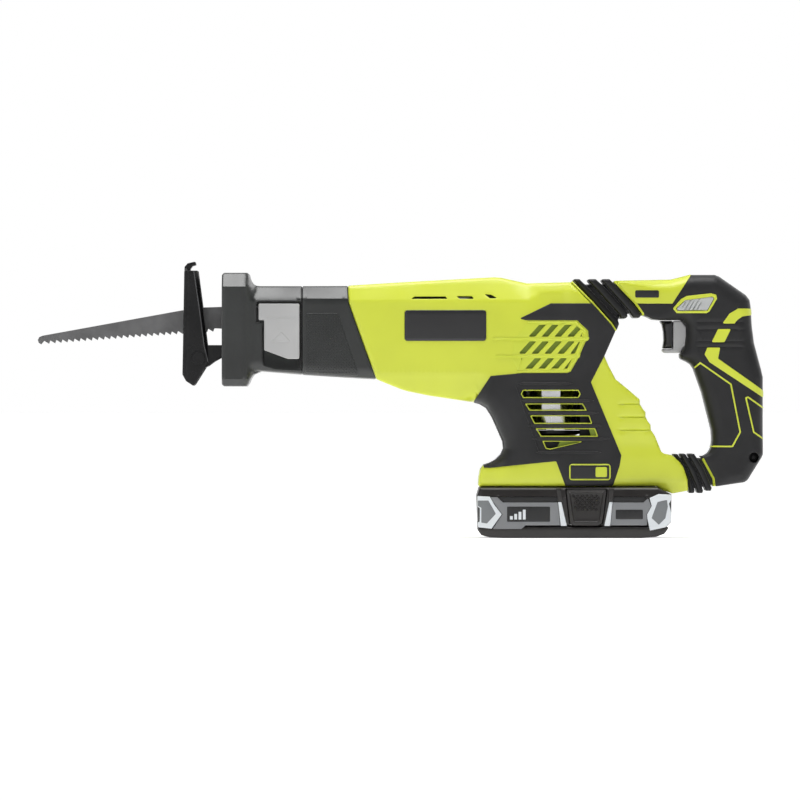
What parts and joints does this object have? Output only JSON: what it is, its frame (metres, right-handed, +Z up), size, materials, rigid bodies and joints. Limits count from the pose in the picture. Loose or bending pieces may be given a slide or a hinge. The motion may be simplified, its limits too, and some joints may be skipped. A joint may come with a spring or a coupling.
{
  "type": "reciprocating saw",
  "caption": "Battery reciprocating saw with a pivoting shoe, quick-change blade clamp, scotch-yoke gear train under a rubber nose boot, bellows-mounted D-handle and a slide-off battery base.",
  "frame": {"origin": "on the floor under the middle of the whole tool, in the mid-plane of the two housing halves", "axes": "-X along the blade towards its tip, +X towards the handle, +Z up from the battery base, -Y the side with the blade lever"},
  "size_m": [0.509, 0.082, 0.1934],
  "materials": {
    "blade_steel": "dark satin",
    "ground_steel": "ground",
    "sintered_bronze": "sintered",
    "black_coated_steel": "black coating",
    "boot_rubber": "satin",
    "cast_aluminium": "cast",
    "grey_lever": "satin",
    "green_housing": "fine texture",
    "black_overmould": "matt",
    "handle_shell": "soft-touch matt",
    "bellows_rubber": "matt",
    "black_plastic": "satin",
    "grey_panel": "matt",
    "motor_can_steel": "bright",
    "copper_windings": "copper",
    "battery_shell": "fine texture",
    "cell_steel": "sleeved"
  },
  "bodies": {
    "tool_body": {"housing_left": "green_housing", "housing_right": "green_housing", "body_grip_left": "black_overmould", "body_grip_right": "black_overmould", "motor_guard_left": "black_overmould", "motor_guard_right": "black_overmould", "vent_grille_left": "green_housing", "vent_grille_right": "green_housing", "nameplate_left": "black_plastic", "nameplate_right": "black_plastic", "gear_case": "cast_aluminium", "gear_case_cover": "cast_aluminium", "gearcase_sleeve": "boot_rubber", "nose_boot": "boot_rubber", "lever_hinge_pin": "ground_steel", "shoe_bracket": "black_coated_steel", "shoe_pivot_pin": "ground_steel", "plunger_bush_front": "sintered_bronze", "plunger_bush_rear": "sintered_bronze", "crank_axle": "ground_steel", "motor_bearing": "ground_steel", "motor_can": "motor_can_steel", "motor_end_bell": "black_plastic", "upper_bellows": "bellows_rubber", "lower_bellows": "bellows_rubber", "upper_guide_rod": "ground_steel", "lower_guide_rod": "ground_steel"},
    "plunger": {"plunger": "ground_steel", "blade_clamp": "ground_steel"},
    "blade": {"blade": "blade_steel"},
    "crank": {"crank_gear": "ground_steel", "crank_pin": "ground_steel"},
    "armature": {"rotor": "copper_windings", "motor_shaft": "ground_steel", "pinion": "ground_steel", "fan": "black_plastic"},
    "shoe": {"shoe": "black_coated_steel"},
    "blade_lever": {"blade_lever": "grey_lever"},
    "handle": {"handle_left": "handle_shell", "handle_right": "handle_shell", "switch_body": "black_plastic"},
    "trigger": {"trigger": "grey_lever", "trigger_pad": "black_plastic"},
    "lock_button": {"lock_button": "grey_lever"},
    "battery": {"battery_case": "battery_shell", "battery_pan": "battery_shell", "battery_panel_front_left": "grey_panel", "battery_panel_front_right": "grey_panel", "battery_panel_rear_left": "grey_panel", "battery_panel_rear_right": "grey_panel", "battery_terminals": "copper_windings", "cell_1": "cell_steel", "cell_2": "cell_steel", "cell_3": "cell_steel", "cell_4": "cell_steel", "cell_5": "cell_steel"},
    "latch_left": {"battery_latch_left": "black_plastic"},
    "latch_right": {"battery_latch_right": "black_plastic"}
  },
  "joints": [
    {"name": "plunger_stroke", "type": "slide", "parent": "tool_body", "child": "plunger", "axis": [1, 0, 0], "range_m": [-0.011, 0.011]},
    {"name": "blade_release", "type": "slide", "parent": "plunger", "child": "blade", "axis": [-1, 0, 0], "range_m": [0, 0.03]},
    {"name": "crank_spin", "type": "hinge", "parent": "tool_body", "child": "crank", "pos_m": [0.0731, 0, 0.1404], "axis": [0, 0, 1], "continuous": true},
    {"name": "armature_spin", "type": "hinge", "parent": "tool_body", "child": "armature", "pos_m": [0.1055, 0, 0.0984], "axis": [0, 0, 1], "continuous": true},
    {"name": "shoe_tilt", "type": "hinge", "parent": "tool_body", "child": "shoe", "pos_m": [-0.1415, 0, 0.1254], "axis": [0, 1, 0], "range_deg": [-30, 12]},
    {"name": "blade_lever_lift", "type": "hinge", "parent": "tool_body", "child": "blade_lever", "pos_m": [-0.0845, -0.0278, 0.1619], "axis": [-1, 0, 0], "range_deg": [0, 44], "stiffness_Nm_per_rad": 0.05, "springref_deg": -11.46},
    {"name": "handle_float", "type": "slide", "parent": "tool_body", "child": "handle", "axis": [1, 0, 0], "range_m": [-0.001, 0.001], "stiffness_N_per_m": 20000},
    {"name": "trigger_pull", "type": "slide", "parent": "handle", "child": "trigger", "axis": [1, 0, 0], "range_m": [0, 0.006], "stiffness_N_per_m": 600, "springref_m": -0.003},
    {"name": "lock_off_push", "type": "slide", "parent": "handle", "child": "lock_button", "axis": [0, 1, 0], "range_m": [-0.0025, 0.0025], "stiffness_N_per_m": 500},
    {"name": "battery_release", "type": "slide", "parent": "tool_body", "child": "battery", "axis": [0, 0, -1], "range_m": [0, 0.042]},
    {"name": "latch_left_press", "type": "slide", "parent": "battery", "child": "latch_left", "axis": [0, 1, 0], "range_m": [0, 0.0025], "stiffness_N_per_m": 600, "springref_m": -0.001},
    {"name": "latch_right_press", "type": "slide", "parent": "battery", "child": "latch_right", "axis": [0, -1, 0], "range_m": [0, 0.0025], "stiffness_N_per_m": 600, "springref_m": -0.001}
  ],
  "couplings": [
    {"joint": "armature_spin", "follows": "crank_spin", "ratio": -5.75}
  ]
}
